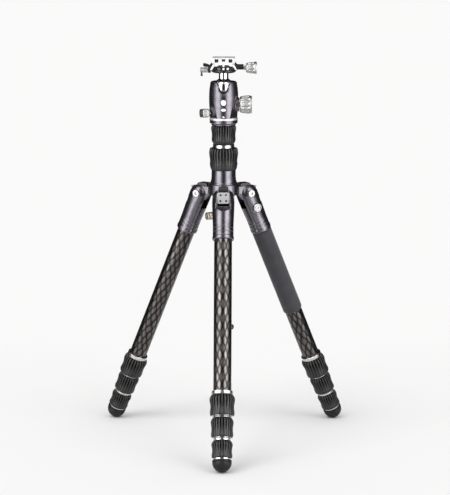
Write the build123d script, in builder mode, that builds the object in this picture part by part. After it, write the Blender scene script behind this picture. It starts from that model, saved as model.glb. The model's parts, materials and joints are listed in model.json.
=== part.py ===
from build123d import *
import math
import os

os.makedirs("parts", exist_ok=True)

# ---------------------------------------------------------------- driving dimensions (mm, degrees)
# Frame: origin on the floor under the centre column, +Z up, one leg towards -Y.
leg_azimuths = {"front": -90.0, "right": 30.0, "left": 150.0}
leg_angle = 23.8            # leg from the vertical, on the first angle stop
leg_length = 432.2          # pivot to the tip of the foot
pivot_radius = 42.0         # pivot pins from the column axis
foot_radius = 15.0
pivot_height = (leg_length - foot_radius) * math.cos(math.radians(leg_angle)) + foot_radius

# leg tubes: outer radii of the four sections, wall, and where each one starts and ends along the leg
tube_radii = [14.0, 12.5, 11.0, 9.5]
tube_wall = 1.3
tube_tops = [34.6, 38.0, 42.0, 46.0]
tube_ends = [322.5, 362.0, 395.5, 419.0]

# twist locks: top, bottom, bare metal lengths above and below the rubber, and the rubber's three radii
lock_spans = [(307.4, 346.6), (347.0, 380.2), (380.6, 413.0)]
lock_metal = [(5.6, 0.6), (1.6, 0.8), (3.2, 2.0)]
lock_metal_radii = [16.8, 14.7, 13.5]
lock_radii = [(19.7, 18.2, 19.1), (17.6, 16.5, 17.1), (16.4, 15.1, 16.0)]
shoulder_drop = 3.2         # how far the rubber's top rim lies inside its widest place
shoulder_share = 0.26        # where that place is, as a share of the rubber's length
foot_share = 0.14
running_gap = 0.08          # radial play of a sliding or turning fit
collet_gap = 0.1
collet_wall = 2.2
collet_length = 11.0

# yoke at the top of a leg
yoke_bottom = 68.4
yoke_radius = 16.4
fork_radius = 17.6
fork_taper_end = 45.0
fork_nose_radius = 14.3
dome_station = 2.0          # centre of the fork's rounded top
yoke_grooves = [50.0, 56.0]
groove_depth = 0.5
slot_half_width = 9.8
crotch_radius = 21.0
pin_radius = 4.0
pin_head_radius = 5.4
pin_head_inner = 14.9
pin_head_outer = 17.4

# rubber foot
foot_top = 413.4
foot_socket_depth = 6.0

# grip of the right-hand leg and its release knob
grip_start = 68.8
grip_end = 221.0
grip_radius = 16.0
release_station = 26.0      # along the leg
release_knob_radius = 7.0

# spider
lug_half_width = 9.5
hub_radius = 25.0
skirt_radius = 16.0
skirt_bottom = 352.0
hub_bottom = 396.5
hub_top = 414.0
sleeve_radius = 19.3
sleeve_top = 436.0
neck_radius = 17.0
neck_top = 452.0
bush_inner_radius = 12.6
bush_outer_radius = 14.0
lug_end = 54.6
plate_thickness = 1.8
plate_low = 390.0
plate_high = 407.4
plate_half_width = 9.3
tab_half_width = 7.7
tab_low = 408.3
tab_high = 413.2
tab_inner = 27.0
tab_outer = 45.0
thumb_azimuth = 210.0
thumb_height = 363.5

# centre column
column_outer_radius = 12.5
column_inner_radius = 10.9
column_wall = 1.3
outer_tube_span = (208.0, 491.0)
inner_tube_span = (218.0, 507.4)
lower_lock_span = (436.4, 471.3)
ring_span = (471.7, 477.0)
upper_lock_span = (477.4, 507.2)
hook_pin_height = 193.0
hook_centre_height = 179.5
hook_ring_radius = 11.6
hook_wire_radius = 2.2
hook_ball_radius = 5.0

# ball head
base_span = (509.0, 516.5)
index_span = (516.5, 519.8)
index_radius = 22.4
housing_bottom = 520.1
ball_height = 567.2
ball_radius = 16.0
cup_inner_radius = 16.12
cup_outer_radius = 18.1
cavity_radius = 18.3
seat_radius = 16.15
notch_half_width = 7.9
notch_flare = 24.0
stem_radius = 7.6
facet_azimuths = [-145.0, -35.0, 35.0, 145.0]
facet_height = 530.0
facet_distance = 20.6
facet_lean = 8.0
spindle_radius = 4.92
ball_knob_height = 540.3
ball_knob_radius = 14.5
pan_knob_height = 527.0
pan_knob_radius = 7.2
pan_knob_azimuth = 190.0

# quick-release clamp and camera plate
stem_top = 590.8
turntable_radius = 19.5
turntable_top = 595.4
clamp_low = 595.8
clamp_floor = 601.6
clamp_high = 606.2
clamp_half_length = 20.0
jaw_split = 13.4
jaw_outer = 22.0
knob_axis_height = 598.4
thumb_axis_height = 594.9
plate_bottom = 602.0
plate_shoulder = 606.6
plate_top = 615.0
camera_plate_half_width = 17.8
camera_plate_half_length = 19.4
camera_thread_radius = 3.175


# ---------------------------------------------------------------- helpers
def save(part, name):
    part.label = name
    export_step(part, "parts/" + name + ".step")


def outward(azimuth):
    return Vector(math.cos(math.radians(azimuth)), math.sin(math.radians(azimuth)), 0)


def leg_axis_plane(azimuth):
    """Plane across a leg at its pivot: x points out of the leg's face, z runs down the leg."""
    tilt = math.radians(leg_angle)
    radial = outward(azimuth)
    down_leg = radial * math.sin(tilt) - Vector(0, 0, 1) * math.cos(tilt)
    face = radial * math.cos(tilt) + Vector(0, 0, 1) * math.sin(tilt)
    origin = radial * pivot_radius + Vector(0, 0, pivot_height)
    return Plane(origin=origin, x_dir=face, z_dir=down_leg)


def profile_plane(axis_plane):
    """Plane that holds an axis plane's x and z directions, for outlines that are turned about z."""
    return Plane(axis_plane.origin, x_dir=axis_plane.x_dir, z_dir=axis_plane.x_dir.cross(axis_plane.z_dir))


def axis_of(axis_plane):
    return Axis(axis_plane.origin, axis_plane.z_dir)


def radial_plane(azimuth, height=0.0):
    """Upright plane through the column axis: x is outward, y is up."""
    return Plane((0, 0, height), x_dir=outward(azimuth), z_dir=outward(azimuth).cross(Vector(0, 0, 1)))


def spoke_plane(azimuth, height):
    """Plane across a spoke that leaves the column axis level, with z pointing outward."""
    return Plane((0, 0, height), x_dir=(0, 0, 1), z_dir=outward(azimuth))


def turned(axis_plane, outline):
    """Solid turned about an axis from (radius, station) points."""
    with BuildPart() as piece:
        with BuildSketch(profile_plane(axis_plane)):
            with BuildLine():
                Polyline(*outline, close=True)
            make_face()
        revolve(axis=axis_of(axis_plane))
    return piece.part


def tube(axis_plane, radius, wall, start, end):
    with BuildPart() as piece:
        with BuildSketch(axis_plane.offset(start)):
            Circle(radius)
            Circle(radius - wall, mode=Mode.SUBTRACT)
        extrude(amount=end - start)
    return piece.part


def twist_collar(axis_plane, span, metal, metal_radius, radii, upper_tube, upper_end, lower_tube):
    """Waisted collar that runs on the end of one tube and closes a collet on the tube inside it."""
    top, bottom = span
    rubber_top = top + metal[0]
    rubber_bottom = bottom - metal[1]
    shoulder, waist, foot = radii
    length = rubber_bottom - rubber_top
    chamber = lower_tube + collet_gap + collet_wall + 0.2
    lip = lower_tube + 0.3
    # rounded shoulder: an arc from the rim that meets the widest place upright
    rim = shoulder - shoulder_drop
    rise = shoulder_share * length
    widest = rubber_top + rise
    arc_radius = (shoulder_drop ** 2 + rise ** 2) / (2 * shoulder_drop)
    half = math.asin(rise / arc_radius) / 2
    middle = (shoulder - arc_radius * (1 - math.cos(half)), widest - arc_radius * math.sin(half))
    foot_station = rubber_bottom - foot_share * length
    foot_rim = foot - 1.8
    with BuildPart() as piece:
        with BuildSketch(profile_plane(axis_plane)):
            with BuildLine():
                Polyline(
                    (upper_tube + running_gap, top),
                    (metal_radius, top),
                    (metal_radius, rubber_top),
                    (rim, rubber_top),
                )
                ThreePointArc((rim, rubber_top), middle, (shoulder, widest))
                ThreePointArc((shoulder, widest), (waist, (widest + foot_station) / 2), (foot, foot_station))
                Polyline(
                    (foot, foot_station),
                    (foot - 0.4, rubber_bottom - 1.2),
                    (foot_rim, rubber_bottom),
                    (min(metal_radius, foot_rim), rubber_bottom),
                    (min(metal_radius, foot_rim), bottom),
                    (lip, bottom),
                    (lip, bottom - 3.0),
                    (chamber, bottom - 3.0),
                    (chamber, upper_end + 0.6),
                    (upper_tube + running_gap, upper_end + 0.6),
                    (upper_tube + running_gap, top),
                )
            make_face()
        revolve(axis=axis_of(axis_plane))
        # the split collet inside the collar
        with BuildSketch(axis_plane.offset(upper_end + 1.2)):
            Circle(lower_tube + collet_gap + collet_wall)
            Circle(lower_tube + collet_gap, mode=Mode.SUBTRACT)
        extrude(amount=collet_length)
    return piece.part


# ---------------------------------------------------------------- legs
def make_yoke(axis_plane, with_release):
    side = profile_plane(axis_plane)
    diagonal = fork_radius * math.sqrt(0.5)
    barrel = [(fork_radius, dome_station), (fork_radius, 12), (yoke_radius, fork_taper_end)]
    for station in yoke_grooves:
        barrel += [
            (yoke_radius, station - 0.7), (yoke_radius - groove_depth, station), (yoke_radius, station + 0.7),
        ]
    barrel += [
        (yoke_radius, yoke_bottom - 6), (yoke_radius + 0.5, yoke_bottom - 5),
        (yoke_radius + 0.5, yoke_bottom - 1), (yoke_radius - 0.2, yoke_bottom), (0, yoke_bottom),
        (0, dome_station - fork_radius),
    ]
    with BuildPart() as yoke:
        # round barrel that widens into the fork and ends in a dome
        with BuildSketch(side):
            with BuildLine():
                ThreePointArc((0, dome_station - fork_radius), (diagonal, dome_station - diagonal),
                              (fork_radius, dome_station))
                Polyline(*barrel)
            make_face()
        revolve(axis=axis_of(axis_plane))
        # side view: rounded nose about the pin, opening out to the barrel
        with BuildSketch(side):
            Circle(fork_nose_radius)
            with BuildLine():
                Polyline((-fork_nose_radius, 0), (fork_nose_radius, 0), (fork_radius, 24),
                         (fork_radius + 1, 26), (fork_radius + 1, yoke_bottom + 1),
                         (-fork_radius - 1, yoke_bottom + 1), (-fork_radius - 1, 26), (-fork_radius, 24),
                         close=True)
            make_face()
        extrude(amount=fork_radius + 2, both=True, mode=Mode.INTERSECT)
        # slot between the two arms, hollowed round the pin
        with BuildSketch(side):
            with Locations((0, -5)):
                Rectangle(60, 34)
            with Locations((-15, 4)):
                Rectangle(30, 34)
            Circle(crotch_radius)
        extrude(amount=slot_half_width, both=True, mode=Mode.SUBTRACT)
        # V-shaped bevel under the slot on the outer face
        with BuildSketch(Plane(axis_plane.origin + axis_plane.x_dir * 12.5, x_dir=axis_plane.y_dir,
                               z_dir=axis_plane.x_dir)):
            with BuildLine():
                Polyline((-slot_half_width - 2, 12), (slot_half_width + 2, 12), (slot_half_width + 2, 21),
                         (0, 27), (-slot_half_width - 2, 21), close=True)
            make_face()
        extrude(amount=8, mode=Mode.SUBTRACT)
        # socket for the first tube
        with BuildSketch(axis_plane.offset(tube_tops[0])):
            Circle(tube_radii[0])
        extrude(amount=yoke_bottom, mode=Mode.SUBTRACT)
        # pin bore and the counterbores for its two heads
        with BuildSketch(side):
            Circle(pin_radius + running_gap)
        extrude(amount=30, both=True, mode=Mode.SUBTRACT)
        for sign in (1, -1):
            with BuildSketch(side.offset(sign * (pin_head_inner - 0.2))):
                Circle(pin_head_radius + 0.7)
            extrude(amount=sign * 8, mode=Mode.SUBTRACT)
        if with_release:
            # recess and shaft bore of the release knob
            with BuildSketch(side.offset(-12.2)):
                with Locations((0, release_station)):
                    Circle(release_knob_radius + 1.0)
            extrude(amount=-10, mode=Mode.SUBTRACT)
            with BuildSketch(side):
                with Locations((0, release_station)):
                    Circle(2.6)
            extrude(amount=-20, mode=Mode.SUBTRACT)
    return yoke.part


def make_foot(axis_plane):
    diagonal = foot_radius * math.sqrt(0.5)
    dome_middle = (diagonal, leg_length - foot_radius + diagonal)
    with BuildPart() as foot:
        with BuildSketch(profile_plane(axis_plane)):
            with BuildLine():
                Polyline(
                    (tube_radii[3], foot_top),
                    (foot_radius - 0.6, foot_top),
                    (foot_radius + 0.3, foot_top + 1.6),
                    (foot_radius, leg_length - foot_radius),
                )
                ThreePointArc((foot_radius, leg_length - foot_radius), dome_middle, (0, leg_length))
                Polyline(
                    (0, leg_length),
                    (0, foot_top + foot_socket_depth),
                    (tube_radii[3], foot_top + foot_socket_depth),
                    (tube_radii[3], foot_top),
                )
            make_face()
        revolve(axis=axis_of(axis_plane))
    return foot.part


for leg_name, azimuth in leg_azimuths.items():
    leg = leg_axis_plane(azimuth)
    prefix = "leg_" + leg_name + "_"
    save(make_yoke(leg, leg_name == "right"), prefix + "yoke")
    for index in range(4):
        section = tube(leg, tube_radii[index], tube_wall, tube_tops[index], tube_ends[index])
        save(section, prefix + "tube_" + str(index + 1))
    for index in range(3):
        collar = twist_collar(leg, lock_spans[index], lock_metal[index], lock_metal_radii[index],
                              lock_radii[index], tube_radii[index], tube_ends[index], tube_radii[index + 1])
        save(collar, prefix + "lock_" + str(index + 1))
    save(make_foot(leg), prefix + "foot")

right_leg = leg_axis_plane(leg_azimuths["right"])
save(tube(right_leg, grip_radius, grip_radius - tube_radii[0], grip_start, grip_end), "leg_right_grip")

# the plane across the release knob's shaft, with z pointing out of the fork's forward arm
release_plane = Plane(right_leg.origin + right_leg.z_dir * release_station, x_dir=right_leg.z_dir,
                      z_dir=right_leg.y_dir)
with BuildPart() as release_knob:
    with BuildSketch(release_plane.offset(13.4)):
        Circle(release_knob_radius)
    extrude(amount=5.4)
    chamfer(release_knob.faces().sort_by(axis_of(release_plane))[-1].edges(), 0.8)
    with BuildSketch(release_plane.offset(10.2)):
        Circle(2.5)
    extrude(amount=3.2)
save(release_knob.part, "leg_right_release_knob")


# ---------------------------------------------------------------- spider
column = Plane.XY

with BuildPart() as spider_hub:
    with BuildSketch(Plane.XZ):
        with BuildLine():
            Polyline(
                (bush_outer_radius, skirt_bottom), (skirt_radius, skirt_bottom), (skirt_radius, hub_bottom),
                (hub_radius - 1.5, hub_bottom), (hub_radius, hub_bottom + 1.5),
                (hub_radius, hub_top - 1), (hub_radius - 1, hub_top), (21.8, hub_top), (22.0, hub_top + 1.2),
                (20.8, hub_top + 3.2), (19.8, hub_top + 7), (sleeve_radius, hub_top + 12),
                (sleeve_radius, sleeve_top), (neck_radius, sleeve_top), (neck_radius, neck_top),
                (bush_outer_radius, neck_top), close=True,
            )
        make_face()
    revolve(axis=Axis.Z)
    for azimuth in leg_azimuths.values():
        with BuildSketch(radial_plane(azimuth)):
            with BuildLine():
                Polyline((18, hub_bottom), (27, hub_bottom), (35, 384.5), (50, 384), (lug_end - 1, 388.5),
                         (lug_end, 390), (lug_end, 406), (lug_end - 2, 408), (18, 408), close=True)
            make_face()
            with Locations((pivot_radius, pivot_height)):
                Circle(pin_radius, mode=Mode.SUBTRACT)
        extrude(amount=lug_half_width, both=True)
    # boss and bore of the hub's thumb screw
    with BuildSketch(spoke_plane(thumb_azimuth, thumb_height).offset(bush_outer_radius + 0.6)):
        Circle(5.0)
    extrude(amount=4.0)
    with BuildSketch(spoke_plane(thumb_azimuth, thumb_height)):
        Circle(2.58)
    extrude(amount=30, mode=Mode.SUBTRACT)
save(spider_hub.part, "spider_hub")

with BuildPart() as column_bush:
    with BuildSketch(column.offset(skirt_bottom + 2)):
        Circle(bush_outer_radius)
        Circle(bush_inner_radius, mode=Mode.SUBTRACT)
    extrude(amount=neck_top - skirt_bottom - 2)
    with BuildSketch(spoke_plane(thumb_azimuth, thumb_height)):
        Circle(2.58)
    extrude(amount=30, mode=Mode.SUBTRACT)
save(column_bush.part, "column_bush")

with BuildPart() as pivot_bolts:
    for azimuth in leg_azimuths.values():
        pin_plane = radial_plane(azimuth)
        with BuildSketch(pin_plane):
            with Locations((pivot_radius, pivot_height)):
                Circle(pin_radius)
        extrude(amount=pin_head_inner, both=True)
        for sign in (1, -1):
            with BuildSketch(pin_plane.offset(sign * pin_head_inner)):
                with Locations((pivot_radius, pivot_height)):
                    Circle(pin_head_radius)
            extrude(amount=sign * (pin_head_outer - pin_head_inner))
            with BuildSketch(pin_plane.offset(sign * (pin_head_outer - 2.0))):
                with Locations((pivot_radius, pivot_height)):
                    RegularPolygon(2.4, 6)
            extrude(amount=sign * 4, mode=Mode.SUBTRACT)
save(pivot_bolts.part, "pivot_bolts")

screw_pitch_across = 8.8
screw_pitch_up = 9.2
plate_middle = (plate_low + plate_high) / 2
screw_head_radius = 1.7
with BuildPart() as lug_plates:
    for azimuth in leg_azimuths.values():
        with BuildSketch(spoke_plane(azimuth, plate_middle).offset(lug_end)):
            RectangleRounded(plate_high - plate_low, 2 * plate_half_width, 1.8)
            with GridLocations(screw_pitch_up, screw_pitch_across, 2, 2):
                Circle(screw_head_radius + 0.15, mode=Mode.SUBTRACT)
        extrude(amount=plate_thickness)
save(lug_plates.part, "lug_plates")

with BuildPart() as lug_plate_screws:
    for azimuth in leg_azimuths.values():
        with BuildSketch(spoke_plane(azimuth, plate_middle).offset(lug_end)):
            with GridLocations(screw_pitch_up, screw_pitch_across, 2, 2):
                Circle(screw_head_radius)
        extrude(amount=1.2)
save(lug_plate_screws.part, "lug_plate_screws")

for leg_name, azimuth in leg_azimuths.items():
    # ridged tab that is pulled outward to free the leg's angle
    with BuildPart() as angle_lock:
        with BuildSketch(radial_plane(azimuth)):
            with BuildLine():
                Polyline((tab_inner, tab_low), (tab_outer, tab_low), (tab_outer, tab_high - 1.5),
                         (tab_outer - 1.5, tab_high), (tab_inner + 4, tab_high), (tab_inner, tab_low + 3),
                         close=True)
            make_face()
        extrude(amount=tab_half_width, both=True)
        with BuildSketch(spoke_plane(azimuth, (tab_low + tab_high) / 2).offset(tab_outer - 0.8)):
            with GridLocations(1, 3.0, 1, 5):
                Rectangle(12, 1.2)
        extrude(amount=4, mode=Mode.SUBTRACT)
    save(angle_lock.part, "leg_" + leg_name + "_angle_lock")

thumb_plane = spoke_plane(thumb_azimuth, thumb_height)
thumb_outline = [
    (0, 12.8), (2.5, 12.8), (2.5, 18.9), (5.6, 18.9), (6.2, 19.8), (6.2, 26.2), (5.0, 27.0), (5.0, 28.2),
    (6.2, 28.8), (6.2, 30.6), (5.6, 31.2), (0, 31.2),
]
save(turned(thumb_plane, thumb_outline), "hub_thumb_screw")


# ---------------------------------------------------------------- centre column
save(tube(column, column_outer_radius, column_wall, *outer_tube_span), "column_tube_outer")
save(tube(column, column_inner_radius, column_wall, *inner_tube_span), "column_tube_inner")

with BuildPart() as column_lock:
    low, high = lower_lock_span
    with BuildSketch(Plane.XZ):
        with BuildLine():
            Polyline((neck_radius + running_gap, low), (19.9, low), (20.6, low + 2), (22.2, 445.5))
            ThreePointArc((22.2, 445.5), (21.7, 451.5), (22.8, 459))
            Spline((22.8, 459), (23.2, 464), (22.5, 469))
            Polyline((22.5, 469), (21.4, high), (column_outer_radius + 0.3, high),
                     (column_outer_radius + 0.3, 468), (15.2, 468), (15.2, neck_top + 0.6),
                     (neck_radius + running_gap, neck_top + 0.6), (neck_radius + running_gap, low))
        make_face()
    revolve(axis=Axis.Z)
    with BuildSketch(column.offset(neck_top + 1.4)):
        Circle(column_outer_radius + collet_gap + collet_wall)
        Circle(column_outer_radius + collet_gap, mode=Mode.SUBTRACT)
    extrude(amount=collet_length + 2)
save(column_lock.part, "column_lock")

with BuildPart() as column_lock_ring:
    with BuildSketch(column.offset(ring_span[0])):
        Circle(17.1)
        Circle(column_outer_radius, mode=Mode.SUBTRACT)
    extrude(amount=ring_span[1] - ring_span[0])
    chamfer(column_lock_ring.edges().filter_by(GeomType.CIRCLE).sort_by(SortBy.RADIUS)[-2:], 0.6)
save(column_lock_ring.part, "column_lock_ring")

with BuildPart() as column_upper_lock:
    low, high = upper_lock_span
    outer_end = outer_tube_span[1]
    with BuildSketch(Plane.XZ):
        with BuildLine():
            Polyline((column_outer_radius + running_gap, low), (16.1, low), (18.0, 480.7), (19.2, 484))
            ThreePointArc((19.2, 484), (18.6, 493), (20.0, 501.5))
            Polyline((20.0, 501.5), (19.4, 506), (18.4, high), (column_inner_radius + 0.3, high),
                     (column_inner_radius + 0.3, 504.4), (13.5, 504.4), (13.5, outer_end + 0.6),
                     (column_outer_radius + running_gap, outer_end + 0.6),
                     (column_outer_radius + running_gap, low))
        make_face()
    revolve(axis=Axis.Z)
    with BuildSketch(column.offset(outer_end + 1.2)):
        Circle(column_inner_radius + collet_gap + collet_wall)
        Circle(column_inner_radius + collet_gap, mode=Mode.SUBTRACT)
    extrude(amount=collet_length)
save(column_upper_lock.part, "column_upper_lock")

mount_plate_outline = [
    (0, 482), (column_inner_radius - column_wall, 482), (column_inner_radius - column_wall, 507.4),
    (18.2, 507.4), (19.4, 508.2), (19.4, 509), (4.76, 509), (4.76, 517), (4.0, 518), (0, 518),
]
save(turned(column, mount_plate_outline), "head_mount_plate")

# end plug with two ears and the hook's cross pin
ear_inner = 2.6
ear_outer = 5.6
with BuildPart() as column_end_plug:
    with BuildSketch(column.offset(200)):
        Circle(12.3)
    extrude(amount=8)
    chamfer(column_end_plug.faces().sort_by(Axis.Z)[0].edges(), 1.2)
    with BuildSketch(column.offset(208)):
        Circle(column_outer_radius - column_wall)
        Circle(8, mode=Mode.SUBTRACT)
    extrude(amount=6)
    for sign in (1, -1):
        with BuildSketch(Plane.XZ.offset(sign * ear_inner)):
            with Locations((0, hook_pin_height)):
                Circle(5.6)
            with Locations((0, (hook_pin_height + 201) / 2)):
                Rectangle(11.2, 201 - hook_pin_height)
        extrude(amount=sign * (ear_outer - ear_inner))
    with BuildSketch(Plane.XZ):
        with Locations((0, hook_pin_height)):
            Circle(2.0)
    extrude(amount=ear_outer, both=True)
save(column_end_plug.part, "column_end_plug")

with BuildPart() as weight_hook:
    with BuildSketch(Plane.XZ):
        with Locations((0, hook_pin_height)):
            Circle(5.0)
            Circle(2.08, mode=Mode.SUBTRACT)
    extrude(amount=2.1, both=True)
    with BuildLine() as hook_path:
        CenterArc((0, 0, 0), hook_ring_radius, 100, 260)
    ring_line = Plane((0, 0, hook_centre_height), x_dir=(1, 0, 0), z_dir=(0, -1, 0)).from_local_coords(
        hook_path.line)
    with BuildSketch(Plane(ring_line @ 0, z_dir=ring_line % 0)):
        Circle(hook_wire_radius)
    sweep(path=ring_line)
    with Locations((hook_ring_radius, 0, hook_centre_height)):
        Sphere(hook_ball_radius)
    with BuildSketch(Plane.XZ):
        with Locations((0, hook_pin_height)):
            Circle(2.08)
    extrude(amount=6, both=True, mode=Mode.SUBTRACT)
save(weight_hook.part, "weight_hook")


# ---------------------------------------------------------------- ball head
with BuildPart() as head_base:
    with BuildSketch(Plane.XZ):
        with BuildLine():
            Polyline((4.8, base_span[0]), (19.4, base_span[0]), (20.0, base_span[0] + 1.4),
                     (22.2, base_span[0] + 2.4), (22.2, base_span[1]), (12.0, base_span[1]),
                     (12.0, index_span[1]), (9.0, index_span[1]), (9.0, housing_bottom + 3.4),
                     (spindle_radius, housing_bottom + 3.4), (spindle_radius, 527.6), (0, 527.6), (0, 519),
                     (4.8, 519), close=True)
        make_face()
    revolve(axis=Axis.Z)
save(head_base.part, "head_base")

index_outline = [
    (12.0, index_span[0]), (index_radius, index_span[0]), (index_radius, index_span[1] - 0.5),
    (index_radius - 0.5, index_span[1]), (12.0, index_span[1]),
]
save(turned(column, index_outline), "index_ring")


def on_sphere(radius, polar):
    """Point of the ball's section at an angle from straight up, as (radius, height)."""
    return (radius * math.sin(math.radians(polar)), ball_height + radius * math.cos(math.radians(polar)))


rim_polar = 63.0
with BuildPart() as head_housing:
    with BuildSketch(Plane.XZ):
        with BuildLine():
            Polyline((9.2, housing_bottom), (21.6, housing_bottom), (21.9, 524))
            Spline((21.9, 524), (22.9, 540), (23.1, 553), (22.2, 566.5), (21.2, 573))
            ThreePointArc((21.2, 573), (20.3, 576.2), (18.4, 577.4))
            Line((18.4, 577.4), on_sphere(seat_radius, rim_polar))
            ThreePointArc(on_sphere(seat_radius, rim_polar), on_sphere(seat_radius, 77), (seat_radius, ball_height))
            Line((seat_radius, ball_height), (cavity_radius, ball_height))
            ThreePointArc((cavity_radius, ball_height), on_sphere(cavity_radius, 135),
                          (0, ball_height - cavity_radius))
            Polyline((0, ball_height - cavity_radius), (0, 528.4), (spindle_radius + running_gap, 528.4),
                     (spindle_radius + running_gap, housing_bottom + 3.8), (9.2, housing_bottom + 3.8),
                     (9.2, housing_bottom))
        make_face()
    revolve(axis=Axis.Z)
    # notch that lets the stem lie down to the front, with a bevel round its mouth
    for start, reach, flare in ((9, 20, 0), (18, 7, notch_flare)):
        with BuildSketch(Plane.XZ.offset(start)):
            with BuildLine():
                ThreePointArc((-notch_half_width, ball_height), (0, ball_height - notch_half_width),
                              (notch_half_width, ball_height))
                Polyline((notch_half_width, ball_height), (notch_half_width + 1.2, ball_height + 4),
                         (12.0, 576), (13.5, 580), (-13.5, 580), (-12.0, 576),
                         (-notch_half_width - 1.2, ball_height + 4), (-notch_half_width, ball_height))
            make_face()
        extrude(amount=reach, taper=-flare, mode=Mode.SUBTRACT)
    # two shallow facets that narrow the front of the lower housing, and two more behind
    for azimuth in facet_azimuths:
        lean = math.radians(facet_lean)
        normal = outward(azimuth) * math.cos(lean) - Vector(0, 0, 1) * math.sin(lean)
        middle = outward(azimuth) * facet_distance + Vector(0, 0, facet_height)
        with BuildSketch(Plane(middle, x_dir=outward(azimuth + 90), z_dir=normal)):
            Rectangle(80, 60)
        extrude(amount=12, mode=Mode.SUBTRACT)
    # bosses and shaft bores of the two knobs
    with BuildSketch(spoke_plane(0, ball_knob_height).offset(18)):
        Circle(11.5)
    extrude(amount=7.2, taper=4)
    with BuildSketch(spoke_plane(0, ball_knob_height).offset(8)):
        Circle(4.06)
    extrude(amount=30, mode=Mode.SUBTRACT)
    with BuildSketch(spoke_plane(pan_knob_azimuth, pan_knob_height)):
        Circle(2.56)
    extrude(amount=30, mode=Mode.SUBTRACT)
save(head_housing.part, "head_housing")

with BuildPart() as ball_cup:
    with BuildSketch(Plane.XZ):
        with BuildLine():
            ThreePointArc(on_sphere(cup_inner_radius, 122), on_sphere(cup_inner_radius, 140),
                          on_sphere(cup_inner_radius, 158))
            Line(on_sphere(cup_inner_radius, 158), on_sphere(cup_outer_radius, 158))
            ThreePointArc(on_sphere(cup_outer_radius, 158), on_sphere(cup_outer_radius, 140),
                          on_sphere(cup_outer_radius, 122))
            Line(on_sphere(cup_outer_radius, 122), on_sphere(cup_inner_radius, 122))
        make_face()
    revolve(axis=Axis.Z)
save(ball_cup.part, "ball_cup")

with BuildPart() as ball_stem:
    with Locations((0, 0, ball_height)):
        Sphere(ball_radius)
    with BuildSketch(Plane.XZ):
        with BuildLine():
            Polyline((0, ball_height), (stem_radius, ball_height), (stem_radius, stem_top), (3.0, stem_top),
                     (3.0, stem_top + 3), (0, stem_top + 3), close=True)
        make_face()
    revolve(axis=Axis.Z)
save(ball_stem.part, "ball_stem")

ball_knob_outline = [
    (0, 9.0), (4.0, 9.0), (4.0, 25.8), (11.6, 25.8), (12.9, 27.2), (13.9, 32), (ball_knob_radius, 38),
    (ball_knob_radius, 42.6), (13.6, 43.4), (13.2, 44.8), (0, 44.8),
]
save(turned(spoke_plane(0, ball_knob_height), ball_knob_outline), "ball_lock_knob")

pan_knob_outline = [
    (0, 5.4), (2.5, 5.4), (2.5, 22.6), (5.4, 22.6), (6.4, 24.0), (pan_knob_radius, 27.5),
    (pan_knob_radius, 33.5), (6.7, 34.0), (6.7, 37.0), (5.8, 38.0), (0, 38.0),
]
save(turned(spoke_plane(pan_knob_azimuth, pan_knob_height), pan_knob_outline), "pan_lock_knob")


# ---------------------------------------------------------------- clamp and camera plate
turntable_outline = [
    (3.0, stem_top), (turntable_radius - 3.0, stem_top), (turntable_radius, stem_top + 2.0),
    (turntable_radius, turntable_top), (3.0, turntable_top),
]
save(turned(column, turntable_outline), "clamp_base")

with BuildPart() as clamp_body:
    with BuildSketch(Plane.XZ):
        with BuildLine():
            Polyline((-jaw_outer, clamp_low), (jaw_split, clamp_low), (jaw_split, clamp_floor),
                     (-17.6, clamp_floor), (-17.6, clamp_floor + 0.5), (-14.6, clamp_high), (-18, clamp_high),
                     (-jaw_outer, clamp_high - 4), close=True)
        make_face()
    extrude(amount=clamp_half_length, both=True)
    # arched pockets in the front and back faces
    for sign in (1, -1):
        with BuildSketch(Plane.XZ.offset(sign * (clamp_half_length - 3))):
            for middle in (-7.2, 6.8):
                with Locations((middle, clamp_low + 0.6)):
                    Circle(4.7)
        extrude(amount=sign * 4, mode=Mode.SUBTRACT)
    # arm that carries the turntable's thumb screw
    with BuildSketch(Plane.XZ):
        with BuildLine():
            Polyline((-20.4, 590.8), (-24.8, 590.8), (-24.8, 599.8), (-31.8, 600.6), (-32.6, 604.6),
                     (-31.4, 605.6), (-26, 604.6), (-21, 602.2), (-20.4, 600), close=True)
        make_face()
    extrude(amount=4.5, both=True)
    # bores of the clamp screw and of the thumb screw
    with BuildSketch(Plane.YZ.offset(-12)):
        with Locations((0, knob_axis_height)):
            Circle(2.1)
    extrude(amount=40, mode=Mode.SUBTRACT)
    with BuildSketch(Plane.YZ.offset(-30)):
        with Locations((0, thumb_axis_height)):
            Circle(1.66)
    extrude(amount=12, mode=Mode.SUBTRACT)
save(clamp_body.part, "clamp_body")

with BuildPart() as clamp_jaw:
    with BuildSketch(Plane.XZ):
        with BuildLine():
            Polyline((jaw_split + 0.3, clamp_low + 0.2), (jaw_outer, clamp_low + 0.2),
                     (jaw_outer, clamp_high - 4), (18, clamp_high), (14.6, clamp_high),
                     (17.6, clamp_floor + 0.5), (17.6, clamp_floor),
                     (jaw_split + 0.3, clamp_floor), close=True)
        make_face()
    extrude(amount=clamp_half_length, both=True)
    with BuildSketch(Plane.YZ.offset(jaw_outer - 2)):
        with Locations((0, knob_axis_height)):
            Circle(5.8)
    extrude(amount=11.6)
    with BuildSketch(Plane.XY.offset(clamp_low + 0.2)):
        with Locations((jaw_outer, 0)):
            Rectangle(30, 20)
    extrude(amount=-8, mode=Mode.SUBTRACT)
    with BuildSketch(Plane.YZ):
        with Locations((0, knob_axis_height)):
            Circle(2.1)
    extrude(amount=50, mode=Mode.SUBTRACT)
save(clamp_jaw.part, "clamp_jaw")

clamp_knob_outline = [
    (0, -10.0), (2.0, -10.0), (2.0, 32.2), (3.6, 32.2), (3.6, 35.2), (7.0, 35.6), (7.9, 37.0),
    (9.0, 42), (9.4, 49), (9.9, 49.6), (9.9, 51.2), (9.0, 52.4), (0, 52.4),
]
save(turned(spoke_plane(0, knob_axis_height), clamp_knob_outline), "clamp_knob")

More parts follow.
